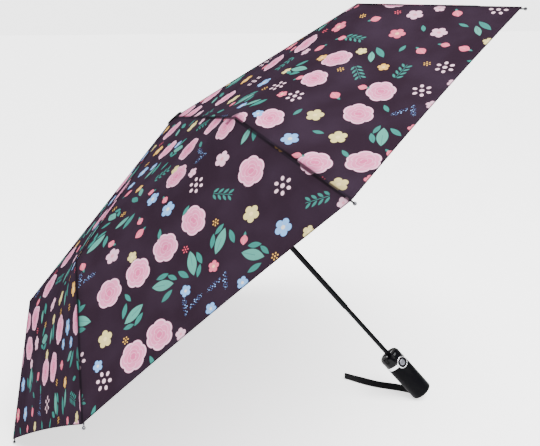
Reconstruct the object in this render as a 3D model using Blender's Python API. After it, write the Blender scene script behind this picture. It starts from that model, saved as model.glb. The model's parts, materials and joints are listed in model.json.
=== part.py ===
"""Three-fold folding umbrella, open and lying on two rib tips and its handle.

Metres.  The umbrella is modelled upright in its own frame (handle bottom at
z = 0, crown at z = LENGTH, ribs spread around z) under one empty, which then
lays it down so that the two lowest rib tips and the handle rest on z = 0.
"""
import math

import bmesh
import bpy
from mathutils import Matrix, Vector

for old in list(bpy.data.objects):
    bpy.data.objects.remove(old, do_unlink=True)

# ---------------------------------------------------------------- dimensions
LENGTH = 0.5756            # handle bottom to cap top, shaft extended
RIB_COUNT = 8
FIRST_RIB = math.radians(202.5)

CLEAR = 0.0003             # gap between neighbouring fixed pieces
RUN = 0.0004               # radial running gap between telescoping tubes

TUBE_WALL = 0.00035
LOWER_R = 0.0035
MIDDLE_R = LOWER_R + TUBE_WALL + RUN
UPPER_R = MIDDLE_R + TUBE_WALL + RUN
UPPER_LEN = 0.2050         # measured down from the cap top
MIDDLE_TOP = 0.1800        # depth of the middle tube's top below the cap top
MIDDLE_BOTTOM = 0.3910
LOWER_TOP = 0.3610

CAP_R = 0.0140
CAP_T = 0.0028
HUB_DROP = 0.0031          # canopy top below the cap top
CANOPY_T = 0.0006
CANOPY_OFFSET = 0.0050     # canopy outer face above the rib centre line
CANOPY_HOLE_R = 0.0060

PIVOT_R = 0.0110           # radius of crown and runner pivot circles
SLOPE = math.radians(9.76)       # open slope of the inner and middle ribs
OUTER_SLOPE = math.radians(39.9)
INNER_LEN = 0.1630
MIDDLE_LEN = 0.1613
OUTER_LEN = 0.1998
STRETCHER_LEN = 0.0920
LINK_ARM = 0.0100
LINK_ARM_RATIO = 1.06
FOLD = math.radians(78.2)
MIDDLE_FOLD = math.radians(175.5)

PIN_R = 0.0008
HOLE_R = 0.0011
RIB_W = 0.0017             # half width of the inner rib
RIB_H = 0.0018             # half height of every rib channel
SHEET = 0.0005
SIDE = 0.0003              # gap between nested channels
BASE_DROP = 0.0021         # inner face of a channel's base under its centre
ELBOW_DROP = 0.0027        # outer pivot under the middle rib's centre line
ROD_RISE = 0.0025          # outer rod above the outer pivot
ROD_R = 0.0014
BEAD_R = 0.0022
CORNER_BACK = 0.0035       # canopy corner short of the bead
HEM_SCALLOP = 0.0040

WIRE_R = 0.0006
WIRE_GAP = 0.0003
SLOT_HALF = 0.0012
TONGUE_HALF = 0.0008
FLANGE_R = 0.0142

HANDLE_H = 0.0836
HANDLE_R = 0.0166
HANDLE_EDGE = 0.0040
COLLAR_H = 0.0163
BAND_H = 0.0050
COLLAR_BORE_DEPTH = 0.0270
NOTCH_R = 0.0030
END_CAP_R = 0.0092
END_CAP_T = 0.0030
BUTTON_DROP = 0.0198       # button centre below the handle top
BUTTON_AZ = math.radians(-48.0)
BEZEL_R = 0.0094
BEZEL_OUT = 0.0174
BEZEL_SEAT = 0.0107
BEZEL_FLOOR = 0.0010
RING_R = 0.0078
BUTTON_R = 0.0047
BUTTON_FACE = 0.0176
BUTTON_HEAD = 0.0028
STEM_R = 0.0017
BUTTON_TRAVEL = 0.0022
SPRING_WIRE = 0.0003

STRAP_W = 0.0100          # ribbon height, standing on its edge
STRAP_T = 0.0010
STRAP_GAP = 0.0008         # between the loop's two runs
STRAP_LIFT = 0.0003

CROWN_Z = LENGTH - HUB_DROP - CANOPY_OFFSET / math.cos(SLOPE) + (CAP_R - PIVOT_R) * math.tan(SLOPE)
RUNNER_Z = CROWN_Z - 2 * STRETCHER_LEN * math.sin(SLOPE)
MID_IN = RIB_W + SIDE
MID_OUT = MID_IN + SHEET + 0.0001
LINK_IN = MID_OUT + SIDE
LINK_OUT = LINK_IN + 0.0006
CLIP_IN = MID_OUT + SIDE
CLIP_OUT = CLIP_IN + 0.0006

# ------------------------------------------------------------------- helpers
ROOT = bpy.data.objects.new("umbrella_frame", None)
bpy.context.collection.objects.link(ROOT)
MATERIALS = {}


def material(name, color, roughness, metallic):
    mat = bpy.data.materials.new(name)
    mat.use_nodes = True
    shader = mat.node_tree.nodes["Principled BSDF"]
    shader.inputs["Base Color"].default_value = (*color, 1.0)
    shader.inputs["Roughness"].default_value = roughness
    shader.inputs["Metallic"].default_value = metallic
    MATERIALS[name] = mat
    return mat


material("fabric", (0.060, 0.030, 0.045), 0.60, 0.0)
material("steel", (0.62, 0.62, 0.64), 0.30, 1.0)
material("black_metal", (0.03, 0.03, 0.035), 0.35, 0.8)
material("chrome", (0.75, 0.75, 0.77), 0.12, 1.0)
material("gloss_black", (0.012, 0.012, 0.014), 0.15, 0.0)
material("matte_black", (0.020, 0.020, 0.022), 0.60, 0.0)
material("strap_black", (0.020, 0.020, 0.022), 0.80, 0.0)
material("button_grey", (0.45, 0.46, 0.48), 0.30, 0.3)


def mesh_from(name, verts, faces):
    bm = bmesh.new()
    made = [bm.verts.new(v) for v in verts]
    for face in faces:
        bm.faces.new([made[i] for i in face])
    bmesh.ops.recalc_face_normals(bm, faces=bm.faces)
    mesh = bpy.data.meshes.new(name)
    bm.to_mesh(mesh)
    bm.free()
    return mesh


def turned(name, profile, steps=32):
    """Revolve (radius, z) points about Z: a ring, or a solid when it meets the axis."""
    verts = []
    faces = []
    rows = []
    for radius, height in profile:
        if radius < 1e-7:
            rows.append([len(verts)] * steps)
            verts.append((0.0, 0.0, height))
            continue
        rows.append(list(range(len(verts), len(verts) + steps)))
        for k in range(steps):
            a = 2 * math.pi * k / steps
            verts.append((radius * math.cos(a), radius * math.sin(a), height))
    closed = all(r > 1e-7 for r, z in profile)
    last = len(rows) if closed else len(rows) - 1
    for i in range(last):
        low = rows[i]
        high = rows[(i + 1) % len(rows)]
        for k in range(steps):
            n = (k + 1) % steps
            face = []
            for index in (low[k], low[n], high[n], high[k]):
                if index not in face:
                    face.append(index)
            if len(face) > 2:
                faces.append(face)
    return mesh_from(name, verts, faces)


def prism(name, outline, low, high):
    """Outline of (x, z) points, extruded along y from low to high."""
    count = len(outline)
    verts = [(x, low, z) for x, z in outline] + [(x, high, z) for x, z in outline]
    faces = [list(range(count)), list(range(count, 2 * count))]
    for i in range(count):
        n = (i + 1) % count
        faces.append([i, n, count + n, count + i])
    return mesh_from(name, verts, faces)


def box(name, x0, x1, y0, y1, z0, z1):
    return prism(name, [(x0, z0), (x1, z0), (x1, z1), (x0, z1)], y0, y1)


def disc_outline(x, z, radius, steps=8):
    turn = [2 * math.pi * (k + 0.5) / steps for k in range(steps)]
    return [(x + radius * math.cos(a), z + radius * math.sin(a)) for a in turn]


def round_bar(name, x0, x1, z, r0, r1, steps=8):
    """Rod along x at height z."""
    mesh = turned(name, [(0, x0), (r0, x0), (r1, x1), (0, x1)], steps)
    mesh.transform(Matrix.Translation((0, 0, z)) @ Matrix.Rotation(math.pi / 2, 4, "Y"))
    return mesh


def combine(name, base, changes):
    """Apply exact Booleans to a mesh: changes are ("UNION" or "DIFFERENCE", mesh)."""
    body = bpy.data.objects.new(name + "_body", base)
    bpy.context.collection.objects.link(body)
    tools = []
    for operation, mesh in changes:
        tool = bpy.data.objects.new(name + "_tool", mesh)
        bpy.context.collection.objects.link(tool)
        tools.append(tool)
        change = body.modifiers.new("change", "BOOLEAN")
        change.operation = operation
        change.solver = "EXACT"
        change.object = tool
    graph = bpy.context.evaluated_depsgraph_get()
    graph.update()
    result = bpy.data.meshes.new_from_object(body.evaluated_get(graph))
    result.name = name
    for item in tools + [body]:
        bpy.data.objects.remove(item, do_unlink=True)
    bm = bmesh.new()
    bm.from_mesh(result)
    bmesh.ops.remove_doubles(bm, verts=bm.verts, dist=1e-6)
    bmesh.ops.dissolve_limit(bm, angle_limit=0.0005, verts=bm.verts, edges=bm.edges)
    bmesh.ops.recalc_face_normals(bm, faces=bm.faces)
    bm.to_mesh(result)
    bm.free()
    return result


def add(name, mesh, mat, matrix=None, smooth=True):
    obj = bpy.data.objects.new(name, mesh)
    bpy.context.collection.objects.link(obj)
    obj.parent = ROOT
    obj.matrix_local = matrix or Matrix.Identity(4)
    mesh.materials.clear()
    mesh.materials.append(MATERIALS[mat])
    if smooth:
        mesh.shade_smooth()
        mesh.set_sharp_from_angle(angle=math.radians(35))
    return obj


def up(z):
    return Matrix.Translation((0, 0, z))


# --------------------------------------------------------------------- shaft
def tube(name, radius, top, bottom, mat):
    profile = [(radius, bottom), (radius, top), (radius - TUBE_WALL, top), (radius - TUBE_WALL, bottom)]
    return add(name, turned(name, profile, 24), mat)


LOWER_BOTTOM = END_CAP_T + 0.0020
tube("tube_lower", LOWER_R, LENGTH - LOWER_TOP, LOWER_BOTTOM, "black_metal")
tube("tube_middle", MIDDLE_R, LENGTH - MIDDLE_TOP, LENGTH - MIDDLE_BOTTOM, "black_metal")
UPPER_TOP = CROWN_Z + 0.0020
tube("tube_upper", UPPER_R, UPPER_TOP, LENGTH - UPPER_LEN, "black_metal")

# ------------------------------------------------------------ crown and runner
HUB_BORE = UPPER_R + CLEAR
HUB_R = PIVOT_R - 0.0022
GROOVE_IN = PIVOT_R - WIRE_R - WIRE_GAP
GROOVE_OUT = PIVOT_R + WIRE_R + WIRE_GAP
SLOT_TOP = 0.0024
PLATE_TOP = 0.0031
FLANGE_BOTTOM = -0.0025


def slotted(name, profile):
    changes = []
    for k in range(RIB_COUNT):
        cutter = box("slot", HUB_R, FLANGE_R + 0.002, -SLOT_HALF, SLOT_HALF, FLANGE_BOTTOM - 0.001, SLOT_TOP)
        turn = FIRST_RIB + 2 * math.pi * k / RIB_COUNT
        cutter.transform(Matrix.Rotation(turn, 4, "Z"))
        changes.append(("DIFFERENCE", cutter))
    return combine(name, turned(name, profile, 32), changes)


crown_profile = [
    (HUB_BORE, FLANGE_BOTTOM), (GROOVE_IN, FLANGE_BOTTOM), (GROOVE_IN, WIRE_R + WIRE_GAP),
    (GROOVE_OUT, WIRE_R + WIRE_GAP), (GROOVE_OUT, FLANGE_BOTTOM), (FLANGE_R, FLANGE_BOTTOM),
    (FLANGE_R, PLATE_TOP), (HUB_BORE, PLATE_TOP),
]
add("crown", slotted("crown", crown_profile), "gloss_black", up(CROWN_Z))

SLEEVE_LEN = 0.0075
runner_profile = [
    (HUB_BORE, -PLATE_TOP - SLEEVE_LEN), (HUB_R - 0.001, -PLATE_TOP - SLEEVE_LEN),
    (HUB_R - 0.001, -PLATE_TOP), (FLANGE_R, -PLATE_TOP), (FLANGE_R, -FLANGE_BOTTOM),
    (GROOVE_OUT, -FLANGE_BOTTOM), (GROOVE_OUT, -WIRE_R - WIRE_GAP), (GROOVE_IN, -WIRE_R - WIRE_GAP),
    (GROOVE_IN, -FLANGE_BOTTOM), (HUB_BORE, -FLANGE_BOTTOM),
]
runner_changes = []
for k in range(RIB_COUNT):
    cutter = box("slot", HUB_R, FLANGE_R + 0.002, -SLOT_HALF, SLOT_HALF, -SLOT_TOP, 0.001 - FLANGE_BOTTOM)
    cutter.transform(Matrix.Rotation(FIRST_RIB + 2 * math.pi * k / RIB_COUNT, 4, "Z"))
    runner_changes.append(("DIFFERENCE", cutter))
runner_mesh = combine("runner", turned("runner", runner_profile, 32), runner_changes)
add("runner", runner_mesh, "gloss_black", up(RUNNER_Z))

for name, height in (("crown_wire", CROWN_Z), ("runner_wire", RUNNER_Z)):
    ring = [(PIVOT_R + WIRE_R * math.cos(a), WIRE_R * math.sin(a))
            for a in (2 * math.pi * k / 6 for k in range(6))]
    add(name, turned(name, ring, 32), "steel", up(height))

POST_R = UPPER_R - TUBE_WALL - CLEAR
cap_profile = [
    (0, -0.0085), (POST_R, -0.0085), (POST_R, -CAP_T), (CAP_R, -CAP_T), (CAP_R, -CAP_T + 0.0010),
    (CAP_R - 0.0030, -0.0004), (0, 0),
]
add("crown_cap", turned("crown_cap", cap_profile, 32), "gloss_black", up(LENGTH))


# ---------------------------------------------------------------------- ribs
def rooted(name, length, changes, base_side):
    """Bar with an eye at its root that rides on a wire ring, then a channel."""
    eye = disc_outline(0, 0, RIB_H + 0.0001, 10)
    tongue = prism(name, eye, -TONGUE_HALF, TONGUE_HALF)
    bar = box("bar", 0.0, 0.0070, -TONGUE_HALF + 0.00005, TONGUE_HALF - 0.00005, -0.0016, 0.0016)
    return combine(name, tongue, [("UNION", bar)] + changes)


eye_hole = prism("eye_hole", disc_outline(0, 0, WIRE_R + 0.00035, 8), -0.004, 0.004)


def cross_hole(x, z, radius=HOLE_R):
    return prism("hole", disc_outline(x, z, radius, 8), -0.006, 0.006)


inner_top = box("top", 0.0050, INNER_LEN + 0.0005, -RIB_W + 0.0001, RIB_W - 0.0001, RIB_H - SHEET, RIB_H - 0.00005)
inner_sides = []
for low, high in ((-RIB_W, -RIB_W + SHEET), (RIB_W - SHEET, RIB_W)):
    outline = [
        (0.0046, -RIB_H), (INNER_LEN + 0.0006, -RIB_H), (INNER_LEN + 0.0016, -0.0010),
        (INNER_LEN + 0.0016, 0.0010), (INNER_LEN + 0.0006, RIB_H), (0.0046, RIB_H),
    ]
    inner_sides.append(("UNION", prism("side", outline, low, high)))
inner_block = box("block", 0.0048, 0.0080, -RIB_W + 0.0002, RIB_W - 0.0002, -RIB_H + 0.0001, RIB_H - 0.0002)
inner_mesh = rooted(
    "inner_rib", INNER_LEN,
    [("UNION", inner_block)] + inner_sides + [
        ("UNION", inner_top),
        ("DIFFERENCE", eye_hole),
        ("DIFFERENCE", cross_hole(STRETCHER_LEN, 0)),
        ("DIFFERENCE", cross_hole(INNER_LEN, 0)),
    ],
    1,
)

# Stretcher: origin at its pivot on the inner rib, x towards the runner, z away
# from the fabric when open, so its base lies on the -z side.
ARM_S = LINK_ARM * LINK_ARM_RATIO
BASE_OUT = BASE_DROP + 0.0006
stretcher_sides = []
for low, high in ((-MID_OUT, -MID_IN), (MID_IN, MID_OUT)):
    outline = [
        (-0.0020, -0.0012), (-0.0012, -0.0020), (0.0140, -0.0020), (0.0160, -BASE_OUT),
        (STRETCHER_LEN - 0.0048, -BASE_OUT), (STRETCHER_LEN - 0.0048, RIB_H),
        (-0.0012, RIB_H), (-0.0020, 0.0012),
    ]
    stretcher_sides.append(("UNION", prism("side", outline, low, high)))
stretcher_base = box(
    "base", 0.0165, STRETCHER_LEN - 0.0050, -MID_OUT + 0.0001, MID_OUT - 0.0001,
    -BASE_OUT + 0.00005, -BASE_DROP,
)
stretcher_block = box(
    "block", STRETCHER_LEN - 0.0110, STRETCHER_LEN - 0.0049, -MID_OUT + 0.0002, MID_OUT - 0.0002,
    -BASE_OUT + 0.0001, RIB_H - 0.0001,
)
stretcher_eye = prism("eye", disc_outline(STRETCHER_LEN, 0, RIB_H + 0.0001, 10), -TONGUE_HALF, TONGUE_HALF)
stretcher_bar = box(
    "bar", STRETCHER_LEN - 0.0070, STRETCHER_LEN, -TONGUE_HALF + 0.00005, TONGUE_HALF - 0.00005,
    -0.0016, 0.0016,
)
stretcher_hole = prism("hole", disc_outline(STRETCHER_LEN, 0, WIRE_R + 0.00035, 8), -0.004, 0.004)
STUD_END = LINK_OUT + 0.0008


def stud(x, z):
    pin = prism("stud", disc_outline(x, z, PIN_R, 6), MID_OUT - 0.0003, STUD_END - 0.0001)
    head = prism("head", disc_outline(x, z, 0.0014, 8), LINK_OUT + 0.00025, STUD_END)
    return [("UNION", pin), ("UNION", head)]


stretcher_pin = prism("pin", disc_outline(0, 0, PIN_R, 8), -MID_OUT + 0.0002, MID_OUT - 0.0002)
stretcher_mesh = combine(
    "stretcher", stretcher_eye,
    [("UNION", stretcher_bar), ("UNION", stretcher_block)] + stretcher_sides
    + [("UNION", stretcher_base), ("UNION", stretcher_pin)] + stud(ARM_S, 0.0)
    + [("DIFFERENCE", stretcher_hole)],
)

# Angles inside the inner rib's own frame, where the rib points along 0.
STRETCHER_OPEN = math.pi + 2 * SLOPE
STRETCHER_MID = STRETCHER_OPEN + FOLD
TAIL = STRETCHER_MID - MIDDLE_FOLD / 2
TAIL_X = LINK_ARM * math.cos(TAIL)
TAIL_Z = LINK_ARM * math.sin(TAIL)

middle_sides = []
for low, high in ((-MID_OUT, -MID_IN), (MID_IN, MID_OUT)):
    outline = [
        (TAIL_X - 0.0014, TAIL_Z - 0.0012), (TAIL_X + 0.0008, TAIL_Z - 0.0016), (0.0, -BASE_OUT),
        (MIDDLE_LEN - 0.0040, -BASE_OUT), (MIDDLE_LEN - 0.0018, -ELBOW_DROP - 0.0013),
        (MIDDLE_LEN - 0.0008, -ELBOW_DROP - 0.0018), (MIDDLE_LEN + 0.0008, -ELBOW_DROP - 0.0018),
        (MIDDLE_LEN + 0.0018, -ELBOW_DROP - 0.0008), (MIDDLE_LEN + 0.0018, RIB_H),
        (0.0, RIB_H), (TAIL_X - 0.0006, TAIL_Z + 0.0018), (TAIL_X - 0.0018, TAIL_Z + 0.0006),
    ]
    middle_sides.append(prism("side", outline, low, high))
middle_base = box(
    "base", 0.0034, MIDDLE_LEN - 0.0050, -MID_OUT + 0.0001, MID_OUT - 0.0001,
    -BASE_OUT + 0.00005, -BASE_DROP,
)
middle_pin = prism("pin", disc_outline(0, 0, PIN_R, 8), -MID_OUT + 0.0002, MID_OUT - 0.0002)
middle_mesh = combine(
    "middle_rib", middle_sides[0],
    [("UNION", middle_base), ("UNION", middle_sides[1]), ("UNION", middle_pin)] + stud(TAIL_X, TAIL_Z)
    + [("DIFFERENCE", cross_hole(MIDDLE_LEN, -ELBOW_DROP))],
)

clip_sides = []
for low, high in ((-CLIP_OUT, -CLIP_IN), (CLIP_IN, CLIP_OUT)):
    outline = [
        (-0.0017, -0.0007), (-0.0007, -0.0017), (0.0009, -0.0016), (0.0120, 0.0012),
        (0.0120, 0.0043), (0.0040, 0.0043), (-0.0017, 0.0008),
    ]
    clip_sides.append(prism("side", outline, low, high))
clip_base = box("base", 0.0045, 0.0119, -CLIP_OUT + 0.0001, CLIP_OUT - 0.0001, 0.0038, 0.00425)
clip_pin = prism("pin", disc_outline(0, 0, PIN_R, 8), -CLIP_OUT + 0.0002, CLIP_OUT - 0.0002)
rod = round_bar("rod", 0.0075, OUTER_LEN, ROD_RISE, ROD_R + 0.0001, 0.0010, 8)
bead_ring = [(0, -BEAD_R)]
for k in range(1, 5):
    a = -math.pi / 2 + math.pi * k / 5
    bead_ring.append((BEAD_R * math.cos(a), BEAD_R * math.sin(a)))
bead_ring.append((0, BEAD_R))
bead = turned("bead", bead_ring, 8)
bead.transform(Matrix.Translation((OUTER_LEN, 0, ROD_RISE)) @ Matrix.Rotation(math.pi / 2, 4, "Y"))
outer_mesh = combine(
    "outer_rib", clip_sides[0],
    [("UNION", clip_base), ("UNION", clip_sides[1]), ("UNION", clip_pin), ("UNION", rod), ("UNION", bead)],
)


# Control link: from a stud on the stretcher to a stud on the middle rib's tail.
# Its far eye is wide enough for the small wander of that stud while folding.
def link_targets():
    spots = []
    for k in range(25):
        share = k / 24
        s_dir = STRETCHER_OPEN + 2 * FOLD * share
        t_dir = TAIL + MIDDLE_FOLD * share
        start = Vector((STRETCHER_LEN + ARM_S * math.cos(s_dir), ARM_S * math.sin(s_dir)))
        end = Vector((INNER_LEN + LINK_ARM * math.cos(t_dir), LINK_ARM * math.sin(t_dir)))
        spots.append(end - start)
    return spots


targets = link_targets()
far_x = (min(s.x for s in targets) + max(s.x for s in targets)) / 2
far_z = (min(s.y for s in targets) + max(s.y for s in targets)) / 2
wander = max(math.hypot(s.x - far_x, s.y - far_z) for s in targets)
FAR_HOLE = PIN_R + wander + 0.00025
link_near = prism("link_near", disc_outline(0, 0, 0.0019, 8), LINK_IN, LINK_OUT)
link_far = prism("link_far", disc_outline(far_x, far_z, FAR_HOLE + 0.0009, 10), LINK_IN, LINK_OUT)
strip = prism(
    "strip", [(0, -0.0010), (far_x, far_z - 0.0010), (far_x, far_z + 0.0010), (0, 0.0010)],
    LINK_IN + 0.00005, LINK_OUT - 0.00005,
)
link_mesh = combine(
    "control_link", link_near,
    [("UNION", strip), ("UNION", link_far), ("DIFFERENCE", cross_hole(0, 0)),
     ("DIFFERENCE", prism("hole", disc_outline(far_x, far_z, FAR_HOLE + 0.0001, 10), -0.006, 0.006))],
)


def in_plane(angle, radius, height, slope):
    """Rib-plane placement: slope is the x axis's angle above the horizontal."""
    turn = Matrix.Rotation(angle, 4, "Z")
    return turn @ Matrix.Translation((radius, 0, height)) @ Matrix.Rotation(-slope, 4, "Y")


ELBOW_R = PIVOT_R + (INNER_LEN + MIDDLE_LEN) * math.cos(SLOPE) - ELBOW_DROP * math.sin(SLOPE)
ELBOW_Z = CROWN_Z - (INNER_LEN + MIDDLE_LEN) * math.sin(SLOPE) - ELBOW_DROP * math.cos(SLOPE)
P1_R = PIVOT_R + STRETCHER_LEN * math.cos(SLOPE)
P1_Z = CROWN_Z - STRETCHER_LEN * math.sin(SLOPE)
K1_R = PIVOT_R + INNER_LEN * math.cos(SLOPE)
K1_Z = CROWN_Z - INNER_LEN * math.sin(SLOPE)
S_R = P1_R + ARM_S * math.cos(math.pi + SLOPE)
S_Z = P1_Z + ARM_S * math.sin(math.pi + SLOPE)
for i in range(RIB_COUNT):
    angle = FIRST_RIB + 2 * math.pi * i / RIB_COUNT
    tag = "_" + str(i + 1)
    add("inner_rib" + tag, inner_mesh, "black_metal", in_plane(angle, PIVOT_R, CROWN_Z, -SLOPE))
    add("stretcher" + tag, stretcher_mesh, "black_metal", in_plane(angle, P1_R, P1_Z, math.pi + SLOPE))
    add("control_link" + tag, link_mesh, "steel", in_plane(angle, S_R, S_Z, -SLOPE))
    add("middle_rib" + tag, middle_mesh, "black_metal", in_plane(angle, K1_R, K1_Z, -SLOPE))
    add("outer_rib" + tag, outer_mesh, "steel", in_plane(angle, ELBOW_R, ELBOW_Z, -OUTER_SLOPE))

# -------------------------------------------------------------------- canopy
TIP_R = ELBOW_R + OUTER_LEN * math.cos(OUTER_SLOPE) + ROD_RISE * math.sin(OUTER_SLOPE)
TIP_Z = ELBOW_Z - OUTER_LEN * math.sin(OUTER_SLOPE) + ROD_RISE * math.cos(OUTER_SLOPE)
HUB_Z = LENGTH - HUB_DROP
BEND_R = ELBOW_R + 0.0024 + CANOPY_OFFSET * math.sin(SLOPE)
BEND_Z = HUB_Z - (BEND_R - CAP_R) * math.tan(SLOPE)
CORNER_RISE = ROD_R + CANOPY_T + 0.0006
CORNER_R = TIP_R - CORNER_BACK * math.cos(OUTER_SLOPE) + CORNER_RISE * math.sin(OUTER_SLOPE)
CORNER_Z = TIP_Z + CORNER_BACK * math.sin(OUTER_SLOPE) + CORNER_RISE * math.cos(OUTER_SLOPE)


def profile_point(t):
    """Rib line of the canopy: t 0 hub edge, 1 bend, 2 corner."""
    if t <= 1:
        return CAP_R + (BEND_R - CAP_R) * t, HUB_Z + (BEND_Z - HUB_Z) * t
    s = t - 1
    return BEND_R + (CORNER_R - BEND_R) * s, BEND_Z + (CORNER_Z - BEND_Z) * s


STATIONS = [0.0, 0.5, 1.0, 1.5, 2.0]
ACROSS = 4


def canopy_point(rib, j, t, drop):
    """Panel point: straight across between two ribs, hem bowed towards the crown."""
    share = j / ACROSS
    bow = 4 * share * (1 - share)
    back = HEM_SCALLOP / math.hypot(CORNER_R - BEND_R, CORNER_Z - BEND_Z) * bow
    t = t if t <= 1 else 1 + (t - 1) * (1 - back)
    radius, height = profile_point(t)
    a0 = FIRST_RIB + 2 * math.pi * rib / RIB_COUNT
    a1 = a0 + 2 * math.pi / RIB_COUNT
    x = radius * (math.cos(a0) * (1 - share) + math.cos(a1) * share)
    y = radius * (math.sin(a0) * (1 - share) + math.sin(a1) * share)
    slope = SLOPE if t <= 1 else OUTER_SLOPE
    if abs(t - 1) < 1e-6:
        slope = (SLOPE + OUTER_SLOPE) / 2
        drop = drop / math.cos((OUTER_SLOPE - SLOPE) / 2)
    if t < 1e-6:
        slope = SLOPE / 2
    scale = 1 - drop * math.sin(slope) / max(radius, 1e-6)
    return x * scale, y * scale, height - drop * math.cos(slope)


def canopy_mesh():
    verts = []
    faces = []
    around = RIB_COUNT * ACROSS
    rings = []
    for drop in (0.0, CANOPY_T):
        layer = []
        ring = []
        for k in range(around):
            a = FIRST_RIB + 2 * math.pi * k / around
            ring.append(len(verts))
            hole = (CANOPY_HOLE_R * math.cos(a), CANOPY_HOLE_R * math.sin(a), HUB_Z - drop)
            verts.append(hole)
        layer.append(ring)
        for t in STATIONS:
            ring = []
            for rib in range(RIB_COUNT):
                for j in range(ACROSS):
                    ring.append(len(verts))
                    verts.append(canopy_point(rib, j, t, drop))
            layer.append(ring)
        rings.append(layer)
    for layer in rings:
        for low, high in zip(layer, layer[1:]):
            for k in range(around):
                n = (k + 1) % around
                faces.append([low[k], low[n], high[n], high[k]])
    for index in (0, -1):
        top = rings[0][index]
        under = rings[1][index]
        for k in range(around):
            n = (k + 1) % around
            faces.append([top[k], top[n], under[n], under[k]])
    return mesh_from("canopy", verts, faces)


add("canopy", canopy_mesh(), "fabric", smooth=False)

# -------------------------------------------------------------------- handle
COLLAR_Z = HANDLE_H - COLLAR_H
BAND_Z = COLLAR_Z - CLEAR - BAND_H
GRIP_TOP = BAND_Z - CLEAR
MOUTH_R = MIDDLE_R + 0.0006
SHAFT_BORE = LOWER_R + CLEAR
RECESS_Z = HANDLE_H - COLLAR_BORE_DEPTH

edge = []
for k in range(5):
    a = math.pi / 2 * k / 4
    edge.append((HANDLE_R - HANDLE_EDGE + HANDLE_EDGE * math.sin(a), HANDLE_EDGE * (1 - math.cos(a))))
grip_profile = [(END_CAP_R + CLEAR, 0)] + edge + [
    (HANDLE_R + 0.0002, GRIP_TOP), (MOUTH_R, GRIP_TOP), (MOUTH_R, RECESS_Z), (SHAFT_BORE, RECESS_Z),
    (SHAFT_BORE, END_CAP_T + CLEAR), (END_CAP_R + CLEAR, END_CAP_T + CLEAR),
]
band_profile = [
    (MOUTH_R, BAND_Z), (HANDLE_R + 0.0004, BAND_Z), (HANDLE_R + 0.0004, BAND_Z + BAND_H),
    (MOUTH_R, BAND_Z + BAND_H),
]
collar_profile = [
    (MOUTH_R, COLLAR_Z), (HANDLE_R, COLLAR_Z), (HANDLE_R, HANDLE_H - 0.0040),
    (HANDLE_R - 0.0012, HANDLE_H - 0.0012), (HANDLE_R - 0.0030, HANDLE_H), (MOUTH_R, HANDLE_H),
]
BUTTON_Z = HANDLE_H - BUTTON_DROP
button_place = (
    Matrix.Rotation(BUTTON_AZ, 4, "Z") @ Matrix.Translation((0, 0, BUTTON_Z))
    @ Matrix.Rotation(math.pi / 2, 4, "Y")
)


def pocket():
    profile = [(0, BEZEL_SEAT - CLEAR), (BEZEL_R + CLEAR, BEZEL_SEAT - CLEAR), (BEZEL_R + CLEAR, 0.024), (0, 0.024)]
    mesh = turned("pocket", profile, 24)
    mesh.transform(button_place)
    return ("DIFFERENCE", mesh)


def stem_well():
    low = BUTTON_FACE - BUTTON_HEAD - 0.0035 - BUTTON_TRAVEL - 0.0006
    profile = [(0, low), (STEM_R + CLEAR, low), (STEM_R + CLEAR, 0.012), (0, 0.012)]
    mesh = turned("well", profile, 16)
    mesh.transform(button_place)
    return ("DIFFERENCE", mesh)


def notches():
    cuts = []
    for k in range(RIB_COUNT):
        turn = FIRST_RIB + 2 * math.pi * k / RIB_COUNT
        cut = turned("notch", [(0, -0.008), (NOTCH_R, -0.008), (NOTCH_R, 0.008), (0, 0.008)], 8)
        cut.transform(
            Matrix.Rotation(turn, 4, "Z") @ Matrix.Translation((HANDLE_R + 0.0004, 0, HANDLE_H))
        )
        cuts.append(("DIFFERENCE", cut))
    return cuts


# Strap anchor: a small lug standing out of the grip's lower back edge.
ANCHOR_AZ = math.radians(146.0)
ANCHOR_UP = 0.0050
LUG_R = 0.0026
LUG_OUT = 0.0042
anchor_place = (
    Matrix.Rotation(ANCHOR_AZ, 4, "Z") @ Matrix.Translation((0, 0, ANCHOR_UP)) @ Matrix.Rotation(math.pi / 2, 4, "Y")
)
anchor_local = Vector((
    (HANDLE_R + LUG_OUT + 0.0016) * math.cos(ANCHOR_AZ), (HANDLE_R + LUG_OUT + 0.0016) * math.sin(ANCHOR_AZ), ANCHOR_UP,
))
seat = turned("seat", [(0, HANDLE_R - 0.003), (LUG_R + CLEAR, HANDLE_R - 0.003), (LUG_R + CLEAR, 0.02), (0, 0.02)], 12)
seat.transform(anchor_place)
lug_profile = [
    (0, HANDLE_R - 0.003 + CLEAR), (LUG_R, HANDLE_R - 0.003 + CLEAR), (LUG_R, HANDLE_R + LUG_OUT - 0.0008),
    (LUG_R - 0.0008, HANDLE_R + LUG_OUT), (0, HANDLE_R + LUG_OUT),
]
add("strap_lug", turned("strap_lug", lug_profile, 12), "gloss_black", anchor_place)

grip = combine("handle_grip", turned("handle_grip", grip_profile, 32), [pocket(), stem_well(), ("DIFFERENCE", seat)])
add("handle_grip", grip, "matte_black")
band = combine("trim_band", turned("trim_band", band_profile, 32), [pocket(), stem_well()])
add("trim_band", band, "chrome")
collar = combine("handle_collar", turned("handle_collar", collar_profile, 32), [pocket()] + notches())
add("handle_collar", collar, "gloss_black")
end_cap = [(0, 0), (END_CAP_R, 0), (END_CAP_R, END_CAP_T), (0, END_CAP_T)]
add("handle_end_cap", turned("handle_end_cap", end_cap, 32), "gloss_black")

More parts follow.
